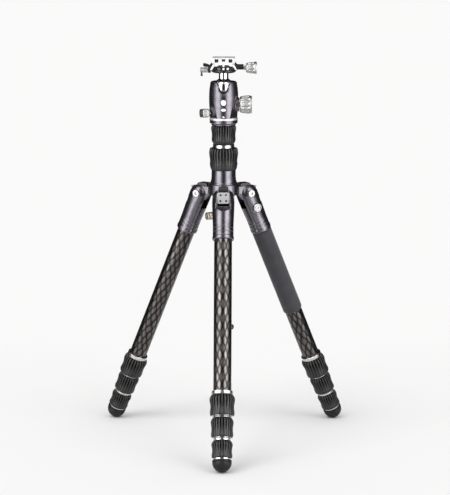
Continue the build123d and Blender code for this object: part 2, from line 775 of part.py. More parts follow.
with BuildPart() as clamp_thumb_screw:
    with BuildSketch(Plane.YZ.offset(-36.8)):
        with Locations((0, thumb_axis_height)):
            Circle(4.2)
    extrude(amount=11.4)
    chamfer(clamp_thumb_screw.edges().filter_by(GeomType.CIRCLE), 0.6)
    with BuildSketch(Plane.YZ.offset(-26)):
        with Locations((0, thumb_axis_height)):
            Circle(1.6)
    extrude(amount=6.2)
    with BuildSketch(Plane.XY.offset(585.4)):
        with Locations((-34.8, 0)):
            Circle(1.9)
    extrude(amount=8)
save(clamp_thumb_screw.part, "clamp_thumb_screw")

with BuildPart() as camera_plate:
    with BuildSketch(Plane.XZ):
        with BuildLine():
            Polyline((-17.0, plate_bottom), (17.0, plate_bottom), (17.0, plate_bottom + 0.4),
                     (14.0, plate_shoulder), (camera_plate_half_width, plate_shoulder),
                     (camera_plate_half_width, plate_top - 0.8), (camera_plate_half_width - 0.8, plate_top),
                     (-camera_plate_half_width + 0.8, plate_top), (-camera_plate_half_width, plate_top - 0.8),
                     (-camera_plate_half_width, plate_shoulder), (-14.0, plate_shoulder),
                     (-17.0, plate_bottom + 0.4), close=True)
        make_face()
    extrude(amount=camera_plate_half_length, both=True)
    # pockets in both end faces
    for sign in (1, -1):
        with BuildSketch(Plane.XZ.offset(sign * (camera_plate_half_length - 4))):
            for middle in (-11.0, 11.0):
                with Locations((middle, plate_top - 4.4)):
                    RectangleRounded(6.2, 5.6, 0.8)
            with Locations((0, plate_top - 3.6)):
                RectangleRounded(6.0, 4.0, 0.8)
        extrude(amount=sign * 6, mode=Mode.SUBTRACT)
    # stepped hole of the camera screw
    with BuildSketch(Plane.XY.offset(plate_bottom - 1)):
        Circle(8.2)
    extrude(amount=8.0, mode=Mode.SUBTRACT)
    with BuildSketch(Plane.XY.offset(plate_bottom)):
        Circle(3.4)
    extrude(amount=20, mode=Mode.SUBTRACT)
save(camera_plate.part, "camera_plate")

screw_outline = [
    (0, 602.0), (7.8, 602.0), (8.0, 602.4), (8.0, 605.4), (7.6, 606.0), (3.0, 606.0), (3.0, 610.4),
    (camera_thread_radius, 610.8), (camera_thread_radius, 614.2), (2.6, 614.7), (0, 614.7),
]
save(turned(column, screw_outline), "camera_screw")
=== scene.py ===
import json
import math

import bpy
from mathutils import Matrix, Vector

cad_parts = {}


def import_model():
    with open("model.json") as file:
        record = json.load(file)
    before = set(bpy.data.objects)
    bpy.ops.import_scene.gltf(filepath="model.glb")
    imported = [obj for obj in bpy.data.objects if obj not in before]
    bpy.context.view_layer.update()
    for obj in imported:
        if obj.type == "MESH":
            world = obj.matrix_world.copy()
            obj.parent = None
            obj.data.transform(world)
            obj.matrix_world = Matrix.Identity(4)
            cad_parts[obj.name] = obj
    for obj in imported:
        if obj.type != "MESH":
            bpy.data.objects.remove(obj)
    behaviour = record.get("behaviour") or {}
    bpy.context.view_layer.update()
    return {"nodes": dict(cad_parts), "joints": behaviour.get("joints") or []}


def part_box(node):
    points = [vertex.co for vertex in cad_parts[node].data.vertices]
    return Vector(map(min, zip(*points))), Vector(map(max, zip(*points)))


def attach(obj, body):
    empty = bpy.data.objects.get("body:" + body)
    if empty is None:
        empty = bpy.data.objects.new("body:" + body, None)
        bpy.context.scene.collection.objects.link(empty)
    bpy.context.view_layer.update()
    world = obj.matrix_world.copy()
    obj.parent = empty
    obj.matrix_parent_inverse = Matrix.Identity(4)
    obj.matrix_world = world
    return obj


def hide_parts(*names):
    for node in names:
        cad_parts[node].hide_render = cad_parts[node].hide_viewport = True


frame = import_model()

# ---------------------------------------------------------------- units and places
# Lengths named here are in millimetres; MM turns them into the frame's metres.
MM = 0.001
LEGS = ("front", "right", "left")
UP = Vector((0, 0, 1))
joints = {joint["name"]: joint for joint in frame["joints"]}


def axes(origin, x, z):
    """Matrix that places a piece with its own x and z along these directions."""
    z = Vector(z).normalized()
    x = Vector(x)
    x = (x - x.dot(z) * z).normalized()
    turn = Matrix((x, z.cross(x), z)).transposed()
    return Matrix.Translation(origin) @ turn.to_4x4()


def leg_axes(leg):
    """A leg's own axes: origin at its pivot, z down the leg, x out of its face."""
    pivot = joints["leg_" + leg + "_spread"]
    down = Vector(joints["leg_" + leg + "_section_2_slide"]["axis"])
    return axes(Vector(pivot["pos_m"]), Vector(pivot["axis"]).cross(down), down)


def span(node, place):
    """Lowest and highest station of a CAD node along a place's z axis, in millimetres."""
    inverse = place.inverted()
    stations = [(inverse @ v.co).z for v in frame["nodes"][node].data.vertices]
    return min(stations) / MM, max(stations) / MM


def box_mm(node):
    low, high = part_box(node)
    return low / MM, high / MM


column_place = Matrix.Identity(4)


# ---------------------------------------------------------------- meshes
def mesh_piece(name, vertices, faces, place, material, sharp=32):
    """Object from vertices in millimetres, in the place's own axes."""
    mesh = bpy.data.meshes.new(name)
    mesh.from_pydata([Vector(v) * MM for v in vertices], [], faces)
    mesh.validate()
    mesh.shade_smooth()
    mesh.set_sharp_from_angle(angle=math.radians(sharp))
    mesh.materials.append(material)
    piece = bpy.data.objects.new(name, mesh)
    bpy.context.scene.collection.objects.link(piece)
    piece.matrix_world = place
    return piece


def finer(outline, step):
    """The same outline with no stretch longer than a step."""
    points = [outline[0]]
    for start, end in zip(outline, outline[1:]):
        count = max(1, math.ceil(math.dist(start, end) / step))
        for i in range(1, count + 1):
            t = i / count
            points.append((start[0] + (end[0] - start[0]) * t, start[1] + (end[1] - start[1]) * t))
    return points


def curve_through(points, count):
    """Smooth outline through a few (radius, station) points."""
    padded = [points[0]] + list(points) + [points[-1]]
    made = []
    for a, b, c, d in zip(padded, padded[1:], padded[2:], padded[3:]):
        for i in range(count):
            t = i / count
            made.append(tuple(
                0.5 * (2 * q + (r - p) * t + (2 * p - 5 * q + 4 * r - s) * t ** 2
                       + (3 * q - p - 3 * r + s) * t ** 3)
                for p, q, r, s in zip(a, b, c, d)))
    return made + [points[-1]]


def lathe(name, outline, place, material, segments=96, carve=None, sharp=32):
    """Surface turned about the place's z axis from (radius, station) points.
    carve(radius, station, angle) gives the radius at that place of the surface."""
    vertices = []
    faces = []
    rings = []
    for radius, station in outline:
        if radius == 0:
            rings.append([len(vertices)] * segments)
            vertices.append((0, 0, station))
            continue
        rings.append(range(len(vertices), len(vertices) + segments))
        for i in range(segments):
            angle = 2 * math.pi * i / segments
            reach = carve(radius, station, angle) if carve else radius
            vertices.append((reach * math.cos(angle), reach * math.sin(angle), station))
    for ring, following in zip(rings, rings[1:]):
        for i in range(segments):
            j = (i + 1) % segments
            corners = [ring[i], ring[j], following[j], following[i]]
            faces.append(list(dict.fromkeys(corners)))
    faces = [face for face in faces if len(face) > 2]
    if outline[-1][1] > outline[0][1]:
        return mesh_piece(name, vertices, faces, place, material, sharp)
    return mesh_piece(name, vertices, [face[::-1] for face in faces], place, material, sharp)


def slab(name, outline, thickness, place, material, sharp=32):
    """Flat piece: an (x, y) outline in the place's axes, thickened along its z."""
    doubled_area = sum(a[0] * b[1] - b[0] * a[1] for a, b in zip(outline, outline[1:] + outline[:1]))
    if doubled_area < 0:
        outline = outline[::-1]
    count = len(outline)
    vertices = [(x, y, 0) for x, y in outline] + [(x, y, thickness) for x, y in outline]
    faces = [tuple(range(count))[::-1], tuple(range(count, 2 * count))]
    for i in range(count):
        j = (i + 1) % count
        faces.append((i, j, count + j, count + i))
    return mesh_piece(name, vertices, faces, place, material, sharp)


def rounded_rectangle(width, height, radius, middle=(0, 0), steps=5):
    points = []
    for corner in range(4):
        start = corner * math.pi / 2
        cx = (width / 2 - radius) * (1 if corner in (0, 3) else -1) + middle[0]
        cy = (height / 2 - radius) * (1 if corner in (0, 1) else -1) + middle[1]
        for i in range(steps + 1):
            angle = start + i / steps * math.pi / 2
            points.append((cx + radius * math.cos(angle), cy + radius * math.sin(angle)))
    return points


def slot_of(material):
    """The record's slot of the same name; Blender adds a number to a name that is taken."""
    return material.name.split(".")[0]


def settle(piece, body, slot, *nodes):
    """The piece rides on a body and may stand for CAD nodes, which it hides; the slot argument is not used.
    """
    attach(piece, body)
    if nodes:
        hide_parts(*nodes)
    return piece


# ---------------------------------------------------------------- finishes
class Finish:
    """A Principled material and the textures that feed it, in the piece's own coordinates."""

    def __init__(self, name, place=None, **values):
        self.material = bpy.data.materials.new(name)
        self.material.use_nodes = True
        self.nodes = self.material.node_tree.nodes
        self.links = self.material.node_tree.links
        self.shader = self.nodes["Principled BSDF"]
        for key, value in values.items():
            self.shader.inputs[key.replace("_", " ")].default_value = value
        self.where = self.node("TexCoord", {}, out="Object")
        if place is not None:
            turn = place.to_euler()
            self.where = self.node("Mapping", {"Vector": self.where, "Location": place.translation,
                                               "Rotation": turn}, vector_type="TEXTURE")

    def node(self, kind, inputs, out=0, **settings):
        made = self.nodes.new("ShaderNode" + kind)
        for key, value in settings.items():
            setattr(made, key, value)
        for key, value in inputs.items():
            if isinstance(value, bpy.types.NodeSocket):
                self.links.new(value, made.inputs[key])
            else:
                made.inputs[key].default_value = value
        return made.outputs[out]

    def set(self, key, value):
        self.links.new(value, self.shader.inputs[key])

    def maths(self, operation, *values):
        return self.node("Math", dict(enumerate(values)), operation=operation)

    def stretched(self, x, y, z):
        return self.node("Mapping", {"Vector": self.where, "Scale": (x, y, z)})

    def noise(self, scale, detail=3.0, roughness=0.55, where=None, distortion=0.0):
        return self.node("TexNoise", {"Vector": where or self.where, "Scale": scale, "Detail": detail,
                                      "Roughness": roughness, "Distortion": distortion})

    def between(self, value, low, high, to_low=0.0, to_high=1.0):
        """The value's stretch from low to high, mapped onto another and held at its ends."""
        return self.node("MapRange", {"Value": value, "From Min": low, "From Max": high,
                                      "To Min": to_low, "To Max": to_high})

    def blend(self, factor, first, second):
        made = self.nodes.new("ShaderNodeMix")
        made.data_type = "RGBA"
        for socket, value in zip((made.inputs[0], made.inputs[6], made.inputs[7]), (factor, first, second)):
            if isinstance(value, bpy.types.NodeSocket):
                self.links.new(value, socket)
            else:
                socket.default_value = value
        return made.outputs[2]

    def rounded(self, radius):
        """Surface direction with its edges rounded, and how close the point is to an edge."""
        soft = self.node("Bevel", {"Radius": radius * MM}, samples=6)
        straight = self.node("NewGeometry", {}, out="Normal")
        alike = self.nodes.new("ShaderNodeVectorMath")
        alike.operation = "DOT_PRODUCT"
        self.links.new(soft, alike.inputs[0])
        self.links.new(straight, alike.inputs[1])
        return soft, self.between(alike.outputs["Value"], 0.995, 0.80)

    def bump(self, height, strength, depth, normal=None):
        inputs = {"Height": height, "Strength": strength, "Distance": depth * MM}
        if normal is not None:
            inputs["Normal"] = normal
        return self.node("Bump", inputs)


def grey(level, warm=0.0):
    return (level * (1 + warm), level, level * (1 - warm), 1.0)


def casting_finish(name, dark, light, rough=0.22):
    """Satin anodised casting: faint mottling, fine blast grain and brighter worn edges."""
    made = Finish(name, Metallic=0.92)
    soft, edge = made.rounded(0.7)
    mottle = made.between(made.noise(90, 4), 0.35, 0.65)
    body = made.blend(mottle, dark, light)
    worn = made.maths("MULTIPLY", edge, made.between(made.noise(400, 2), 0.35, 0.6, 0.35, 1.0))
    made.set("Base Color", made.blend(worn, body, (0.36, 0.35, 0.38, 1)))
    made.set("Roughness", made.between(made.noise(160, 5), 0.3, 0.7, rough - 0.04, rough + 0.06))
    made.set("Normal", made.bump(made.noise(5200, 2), 0.25, 0.05, soft))
    return made.material


def carbon_finish(name, place):
    """Clear-coated carbon tube: black, with long wavy lens-shaped streaks of bright fibre."""
    made = Finish(name, place, Metallic=0.9, Coat_Weight=0.35, Coat_Roughness=0.06, Coat_IOR=1.45)
    parts = made.nodes.new("ShaderNodeSeparateXYZ")
    made.links.new(made.where, parts.inputs[0])
    angle = made.maths("ARCTAN2", parts.outputs["Y"], parts.outputs["X"])
    station = parts.outputs["Z"]
    wander = made.between(made.noise(55, 2, where=made.stretched(1, 1, 0.6)), 0.0, 1.0, -1.5, 1.5)
    around = made.maths("ADD", made.maths("MULTIPLY", angle, 5.0), wander)
    along = made.maths("MULTIPLY", station, 2 * math.pi / (46 * MM))
    left = made.maths("SINE", made.maths("ADD", around, along))
    right = made.maths("SINE", made.maths("SUBTRACT", around, along))
    lens = made.maths("ABSOLUTE", made.maths("MULTIPLY", left, right))
    fibre = made.noise(700, 3, 0.6, made.stretched(1, 1, 0.05), 0.3)
    streak = made.maths("MULTIPLY", made.between(lens, 0.12, 0.75), made.between(fibre, 0.38, 0.62, 0.3, 1.0))
    made.set("Base Color", made.blend(streak, (0.008, 0.008, 0.009, 1), (0.19, 0.168, 0.155, 1)))
    made.set("Roughness", made.between(streak, 0, 1, 0.34, 0.24))
    made.set("Normal", made.bump(lens, 0.2, 0.06))
    made.set("Coat Normal", made.bump(made.noise(900, 2), 0.05, 0.02))
    return made.material


def rubber_finish(name, ribs=0, shade=1.0):
    """Matt moulded rubber: dusty on its ridges, with painted shade in the grooves between its ribs, where it
    is darker and duller.
    """
    made = Finish(name, Metallic=0.0)
    soft, edge = made.rounded(0.5)
    dust = made.maths("MULTIPLY", edge, made.between(made.noise(260, 3), 0.4, 0.7, 0.1, 0.8))
    mottle = made.between(made.noise(120, 4), 0.35, 0.65)
    body = made.blend(mottle, grey(0.012 * shade, 0.03), grey(0.022 * shade, 0.03))
    top = made.blend(dust, body, grey(0.045 * shade, 0.03))
    # Plain rubber: random darker spots, its own tone. Ribbed rubber: replaced below by painted shade in the
    # grooves.
    groove = made.between(made.noise(260, 3), 0.3, 0.9, 0.0, 0.15)
    if ribs:
        parts = made.nodes.new("ShaderNodeSeparateXYZ")
        made.links.new(made.where, parts.inputs[0])
        angle = made.maths("ARCTAN2", parts.outputs["Y"], parts.outputs["X"])
        wave = made.maths("COSINE", made.maths("MULTIPLY", angle, float(ribs)))
        lengthwise = made.nodes.new("ShaderNodeSeparateXYZ")
        made.links.new(made.node("TexCoord", {}, out="Generated"), lengthwise.inputs[0])
        fade = made.between(lengthwise.outputs["Z"], 0.35, 0.8, 1.0, 0.3)
        # Painted shade: darkest between the ribs, weaker lower down the lock.
        groove = made.maths("MULTIPLY", made.between(wave, 0.5, -0.6), fade)
    # The mask darkens the colour and lowers the specular level: painted shade where the rubber is ribbed.
    made.set("Base Color", made.blend(groove, top, grey(0.0015)))
    made.set("Specular IOR Level", made.between(groove, 0.0, 1.0, 0.45 * shade, 0.03))
    made.set("Roughness", made.between(made.noise(300, 4), 0.3, 0.7, 0.36, 0.5))
    made.set("Normal", made.bump(made.noise(3600, 3), 0.3, 0.08, soft))
    return made.material


def foam_finish():
    """Closed-cell grip foam: small pores and a soft sheen."""
    made = Finish("grip_foam", Metallic=0.0, Specular_IOR_Level=0.3, Sheen_Weight=0.25, Sheen_Roughness=0.5)
    cells = made.node("TexVoronoi", {"Vector": made.where, "Scale": 1500.0})
    pores = made.between(cells, 0.0, 0.45)
    drift = made.between(made.noise(45, 4), 0.3, 0.7)
    body = made.blend(drift, (0.026, 0.024, 0.030, 1), (0.040, 0.037, 0.046, 1))
    # Pores drawn darker: painted shade inside them. They are also bumped below.
    made.set("Base Color", made.blend(pores, grey(0.014), body))
    made.set("Roughness", made.between(made.noise(900, 3), 0.3, 0.7, 0.66, 0.82))
    made.set("Normal", made.bump(made.maths("ADD", pores, made.noise(500, 3)), 0.5, 0.18))
    return made.material


def silver_finish(name, level=0.72, rough=0.2, lines=5200):
    """Bright turned aluminium with fine tool rings along the piece's z axis."""
    made = Finish(name, Metallic=1.0)
    soft, edge = made.rounded(0.35)
    parts = made.nodes.new("ShaderNodeSeparateXYZ")
    made.links.new(made.where, parts.inputs[0])
    rings = made.node("TexNoise", {"W": parts.outputs["Z"], "Scale": lines, "Detail": 2.0},
                      noise_dimensions="1D")
    tone = made.between(made.noise(140, 4), 0.35, 0.65)
    body = made.blend(tone, grey(level * 0.9, 0.01), grey(level, 0.005))
    made.set("Base Color", made.blend(edge, body, grey(min(level * 1.15, 0.92))))
    made.set("Roughness", made.between(made.noise(220, 4), 0.3, 0.7, rough - 0.04, rough + 0.08))
    made.set("Normal", made.bump(rings, 0.18, 0.03, soft))
    return made.material


def turned_brass_finish():
    """Dull, lightly stained warm metal."""
    made = Finish("warm_metal", Metallic=0.9)
    soft, edge = made.rounded(0.35)
    stain = made.between(made.noise(150, 4), 0.35, 0.65)
    body = made.blend(stain, (0.34, 0.29, 0.23, 1), (0.46, 0.41, 0.34, 1))
    made.set("Base Color", made.blend(edge, body, (0.62, 0.57, 0.49, 1)))
    made.set("Roughness", made.between(made.noise(220, 4), 0.3, 0.7, 0.32, 0.46))
    made.set("Normal", made.bump(made.noise(3600, 2), 0.15, 0.03, soft))
    return made.material


def chrome_finish():
    """Polished chrome with faint smears and hairline scratches."""
    made = Finish("chrome_ball", Metallic=1.0)
    made.set("Base Color", made.blend(made.between(made.noise(60, 4), 0.3, 0.7), grey(0.74), grey(0.86)))
    made.set("Roughness", made.between(made.noise(90, 5), 0.4, 0.75, 0.035, 0.12))
    made.set("Normal", made.bump(made.noise(2200, 2, 0.5, made.stretched(1, 1, 0.05)), 0.05, 0.02))
    return made.material


def black_metal_finish(name="black_metal", level=0.018):
    """Black anodised metal with worn, lighter edges."""
    made = Finish(name, Metallic=0.7)
    soft, edge = made.rounded(0.5)
    worn = made.maths("MULTIPLY", edge, made.between(made.noise(500, 2), 0.4, 0.6, 0.2, 1.0))
    body = made.blend(made.between(made.noise(110, 4), 0.35, 0.65), grey(level), grey(level * 1.9))
    made.set("Base Color", made.blend(worn, body, grey(0.22)))
    made.set("Roughness", made.between(made.noise(240, 4), 0.3, 0.7, 0.28, 0.42))
    made.set("Normal", made.bump(made.noise(4200, 2), 0.2, 0.04, soft))
    return made.material


def brushed_finish(name, level, rough=0.3, metallic=0.95):
    """Plate brushed along its y axis."""
    made = Finish(name, Metallic=metallic)
    soft, edge = made.rounded(0.4)
    brush = made.noise(1800, 3, 0.6, made.stretched(1, 0.03, 1))
    body = made.blend(made.between(brush, 0.35, 0.65), grey(level * 0.88), grey(level))
    made.set("Base Color", made.blend(edge, body, grey(min(level * 1.25, 0.9))))
    made.set("Roughness", made.between(brush, 0.3, 0.7, rough, rough + 0.12))
    made.set("Normal", made.bump(brush, 0.15, 0.03, soft))
    return made.material


def plastic_finish(name="black_plastic", level=0.016):
    """Moulded black plastic with a spark-eroded grain."""
    made = Finish(name, Metallic=0.0, Specular_IOR_Level=0.5)
    soft, edge = made.rounded(0.4)
    body = made.blend(made.between(made.noise(200, 4), 0.35, 0.65), grey(level), grey(level * 1.8))
    made.set("Base Color", made.blend(edge, body, grey(0.05)))
    made.set("Roughness", made.between(made.noise(350, 3), 0.3, 0.7, 0.34, 0.5))
    made.set("Normal", made.bump(made.noise(2600, 3), 0.3, 0.06, soft))
    return made.material


FLUTES = 24                  # ribs round a leg lock
COLUMN_FLUTES = 28           # ribs round a column lock
casting = casting_finish("casting", (0.115, 0.106, 0.124, 1), (0.15, 0.14, 0.158, 1))
head_casting = casting_finish("head_casting", (0.115, 0.106, 0.124, 1), (0.15, 0.14, 0.158, 1), 0.24)
rubber = rubber_finish("rubber", shade=0.6)
leg_lock_rubber = rubber_finish("leg_lock_rubber", FLUTES)
column_lock_rubber = rubber_finish("column_lock_rubber", COLUMN_FLUTES)
grip_foam = foam_finish()
silver_metal = silver_finish("silver_metal", 0.62)
knob_metal = silver_finish("knob_metal", 0.44, 0.38)
ring_metal = silver_finish("ring_metal", 0.62, 0.5)
brass_metal = turned_brass_finish()
steel = silver_finish("steel", 0.42, 0.3, 3000)
chrome_ball = chrome_finish()
black_metal = black_metal_finish()
plate_metal = brushed_finish("plate_metal", 0.82, 0.42, 0.6)
lug_plate_metal = brushed_finish("lug_plate_metal", 0.54, 0.38, 0.85)
black_plastic = plastic_finish()


def paint(node, material):
    shown = frame["nodes"][node]
    shown.data.materials.clear()
    shown.data.materials.append(material)


# ---------------------------------------------------------------- twist locks
FLUTE_DEPTH = 1.9
SHOULDER_DROP = 3.2          # how far the rubber's top rim lies inside its widest place
SHOULDER_SHARE = 0.26        # where that place is, as a share of the rubber's length
FOOT_SHARE = 0.14
LEG_LOCK_METAL = {1: (5.6, 0.6), 2: (1.6, 0.8), 3: (3.2, 2.0)}
LEG_LOCK_METAL_RADIUS = {1: 16.8, 2: 14.7, 3: 13.5}
LEG_LOCK_RUBBER = {1: (19.7, 18.2, 19.1), 2: (17.6, 16.5, 17.1), 3: (16.4, 15.1, 16.0)}
LEG_TUBE = {1: 14.0, 2: 12.5, 3: 11.0, 4: 9.5}


def fluting(top, waist, bottom, count=FLUTES, depth=FLUTE_DEPTH):
    """Carve function: V flutes that are wide at the top and end at the waist, and faint ribs under them."""
    def carve(radius, station, angle):
        down = max((station - top) / (waist - top), 0)
        phase = angle * count / (2 * math.pi) % 1
        off_ridge = 1 - abs(2 * phase - 1)
        if down < 1:
            width = 0.2 + 0.62 * (1 - down)
            groove = max(0.0, 1 - (1 - off_ridge) / width)
            return radius - depth * groove ** 0.7 * (1 - down) ** 0.35
        lower = min(1.0, (station - waist) / (bottom - waist))
        return radius - 0.35 * math.sin(math.pi * lower) * (0.5 - 0.5 * math.cos(2 * math.pi * phase))
    return carve


def rounded_shoulder(rim, top, widest_radius, widest, count=7):
    """Quarter-round outline from the rim at the top to the widest place, where it runs upright."""
    drop = widest_radius - rim
    rise = widest - top
    reach = (drop ** 2 + rise ** 2) / (2 * drop)
    turn = math.asin(rise / reach)
    made = []
    for i in range(count):
        angle = turn * (1 - i / (count - 1))
        made.append((widest_radius - reach * (1 - math.cos(angle)), widest - reach * math.sin(angle)))
    return made


def leg_lock(leg, number):
    place = leg_axes(leg)
    node = "leg_" + leg + "_lock_" + str(number)
    top, bottom = span(node, place)
    above, below = LEG_LOCK_METAL[number]
    metal = LEG_LOCK_METAL_RADIUS[number]
    shoulder, waist, foot = LEG_LOCK_RUBBER[number]
    rubber_top = top + above
    rubber_bottom = bottom - below
    waist_station = rubber_top + 0.62 * (rubber_bottom - rubber_top)
    inner_top = LEG_TUBE[number] + 0.1
    inner_bottom = LEG_TUBE[number + 1] + 0.3
    length = rubber_bottom - rubber_top
    rim = shoulder - SHOULDER_DROP
    widest = rubber_top + SHOULDER_SHARE * length
    foot_station = rubber_bottom - FOOT_SHARE * length
    outline = [(metal - 0.8, rubber_top + 0.2), (rim - 0.2, rubber_top + 0.1)]
    outline += rounded_shoulder(rim, rubber_top + 0.3, shoulder, widest)
    outline += curve_through([(shoulder, widest), (waist, (widest + foot_station) / 2),
                              (foot, foot_station)], 6)[1:]
    outline += [(foot - 0.4, rubber_bottom - 1.2), (foot - 1.8, rubber_bottom), (inner_bottom, rubber_bottom)]
    settle(lathe(node + "_rubber", finer(outline, 1.6), place, leg_lock_rubber, FLUTES * 14,
                 fluting(rubber_top, waist_station, rubber_bottom), 40), node, "rubber", node)
    ring = [(inner_top, top), (metal - 0.7, top), (metal, top + 0.6), (metal, rubber_top - 0.5),
            (metal - 0.6, rubber_top + 0.1), (metal - 0.9, rubber_top + 0.4)]
    settle(lathe(node + "_ring", ring, place, silver_metal, 128), node, "silver_metal")
    low_metal = min(metal, foot - 1.8)
    low_ring = [(low_metal, rubber_bottom), (low_metal, bottom - 0.2), (low_metal - 0.3, bottom),
                (inner_bottom, bottom)]
    settle(lathe(node + "_lip", low_ring, place, silver_metal, 128), node, "silver_metal")


def flipped(place, height):
    """Axes at a height on the column with z pointing down."""
    return place @ Matrix.Translation((0, 0, height * MM)) @ Matrix.Rotation(math.pi, 4, "X")


def column_lock(node, rim, side, foot, steps, waist, depth):
    """Twist lock of the column: its rim, the curve of its side and its foot, given from its top down.
    The foot's stations are measured from the lock's lower end."""
    low, high = box_mm(node)
    tall = high.z - low.z
    outline = rim + curve_through(side, steps) + [(radius, tall - rise) for radius, rise in foot]
    carve = fluting(0.0, waist, tall, COLUMN_FLUTES, depth)
    piece = lathe(node + "_rubber", finer(outline, 1.6), flipped(column_place, high.z), column_lock_rubber,
                  COLUMN_FLUTES * 14, carve, 40)
    settle(piece, node, "rubber", node)


def column_locks():
    column_lock("column_lock",
                rim=[(13.2, 0.1), (20.6, 0.0), (21.6, 0.5), (22.4, 1.9)],
                side=[(22.5, 2.3), (23.1, 7.3), (22.7, 12.3), (21.7, 19.8), (22.1, 25.8)],
                foot=[(21.2, 3.4), (20.6, 2.0), (19.9, 0.0), (17.2, 0.0)],
                steps=5, waist=23.0, depth=2.2)
    column_lock("column_upper_lock",
                rim=[(11.3, 0.1), (17.6, 0.0), (18.5, 0.5), (19.3, 1.3)],
                side=[(19.8, 3.2), (19.9, 5.7), (18.7, 14.2), (19.1, 23.2)],
                foot=[(18.0, 3.3), (16.3, 0.3), (15.6, 0.0), (12.7, 0.0)],
                steps=6, waist=18.0, depth=2.0)


# ---------------------------------------------------------------- legs
FOOT_RADIUS = 15.0
FOOT_GROOVES = ((42, 0.5), (62, 0.4))        # degrees below the foot's widest place, and depth
FOOT_GROOVE_REACH = 3                        # degrees from a groove's middle to its edge
GRIP_RADIUS = 16.0


def foot(leg):
    """Domed rubber foot with a rim at its top and two shallow grooves."""
    place = leg_axes(leg)
    node = "leg_" + leg + "_foot"
    top, tip = span(node, place)
    centre = tip - FOOT_RADIUS
    outline = [(LEG_TUBE[4] + 0.1, top + 0.2), (FOOT_RADIUS - 1.0, top), (FOOT_RADIUS + 0.1, top + 0.6),
               (FOOT_RADIUS + 0.25, top + 1.6), (FOOT_RADIUS + 0.1, top + 2.4),
               (FOOT_RADIUS - 0.9, top + 2.9), (FOOT_RADIUS - 0.2, top + 3.4)]
    for i in range(25):
        angle = i / 24 * math.pi / 2
        groove = sum(depth * max(0.0, 1 - abs(math.degrees(angle) - middle) / FOOT_GROOVE_REACH)
                     for middle, depth in FOOT_GROOVES)
        reach = FOOT_RADIUS - groove
        outline.append((reach * math.cos(angle) if i < 24 else 0, centre + reach * math.sin(angle)))
    settle(lathe(node + "_rubber", outline, place, rubber, 96), "leg_" + leg + "_section_4", "rubber", node)


def grip():
    """Foam sleeve with rolled ends."""
    place = leg_axes("right")
    start, end = span("leg_right_grip", place)
    inner = LEG_TUBE[1] + 0.1
    outline = [(inner, start + 0.3), (GRIP_RADIUS - 1.2, start), (GRIP_RADIUS - 0.3, start + 0.5),
               (GRIP_RADIUS, start + 1.6), (GRIP_RADIUS, end - 4.0), (GRIP_RADIUS - 0.4, end - 1.8),
               (GRIP_RADIUS - 1.3, end - 0.4), (inner, end)]

    def press(radius, station, angle):
        return radius - 0.12 * (0.5 + 0.5 * math.sin(station / 9.0) * math.sin(3 * angle + station / 17.0))

    piece = lathe("leg_right_grip_foam", finer(outline, 3.0), place, grip_foam, 96, press, 50)
    settle(piece, "leg_right", "grip_foam", "leg_right_grip")


def knurled(count, depth, start, end):
    """Carve function: straight knurling between two stations."""
    def carve(radius, station, angle):
        if station < start or station > end:
            return radius
        return radius - depth * (0.5 + 0.5 * math.cos(count * angle))
    return carve


def release_knob():
    leg = leg_axes("right")
    side = Vector(joints["leg_right_release_turn"]["axis"])
    place = axes(Vector(joints["leg_right_release_turn"]["pos_m"]), leg.col[2].to_3d(), side)
    near, far = span("leg_right_release_knob", place)
    face = far
    rim = 7.0
    outline = [(2.5, near), (2.5, face - 5.4), (rim - 0.6, face - 5.4), (rim, face - 4.9), (rim, face - 0.9),
               (rim - 0.7, face), (5.3, face), (5.1, face - 1.3), (3.9, face - 1.3), (3.7, face - 0.3),
               (2.0, face - 0.3), (1.8, face - 1.6), (0, face - 1.6)]
    settle(lathe("leg_right_release_knob_turned", finer(outline, 0.7), place, knob_metal, 24 * 8,
                 knurled(24, 0.45, face - 4.7, face - 1.1)), "leg_right_release", "silver_metal",
           "leg_right_release_knob")


for leg in LEGS:
    place = leg_axes(leg)
    prefix = "leg_" + leg + "_"
    paint(prefix + "yoke", casting)
    paint(prefix + "angle_lock", black_plastic)
    weave = carbon_finish(prefix + "carbon", place)
    for section in (1, 2, 3, 4):
        paint(prefix + "tube_" + str(section), weave)
    for number in (1, 2, 3):
        leg_lock(leg, number)
    foot(leg)
grip()
release_knob()
column_locks()


# ---------------------------------------------------------------- spider and column
SCREW_ACROSS = 8.8
SCREW_UP = 9.2
SCREW_HEAD = 1.6
SCREW_SINK = 1.8             # how far the screws' seats lie behind the plates' faces
column_weave = carbon_finish("column_carbon", column_place)
paint("spider_hub", casting)
paint("column_bush", black_plastic)
paint("pivot_bolts", steel)
paint("lug_plates", lug_plate_metal)
paint("column_tube_outer", column_weave)
paint("column_tube_inner", column_weave)
paint("column_lock_ring", silver_metal)
paint("column_end_plug", black_plastic)
paint("weight_hook", black_metal)


def spoke_outward(leg):
    """Level direction from the column axis to a leg's pivot."""
    pivot = Vector(joints["leg_" + leg + "_spread"]["pos_m"])
    return Vector((pivot.x, pivot.y, 0)).normalized()


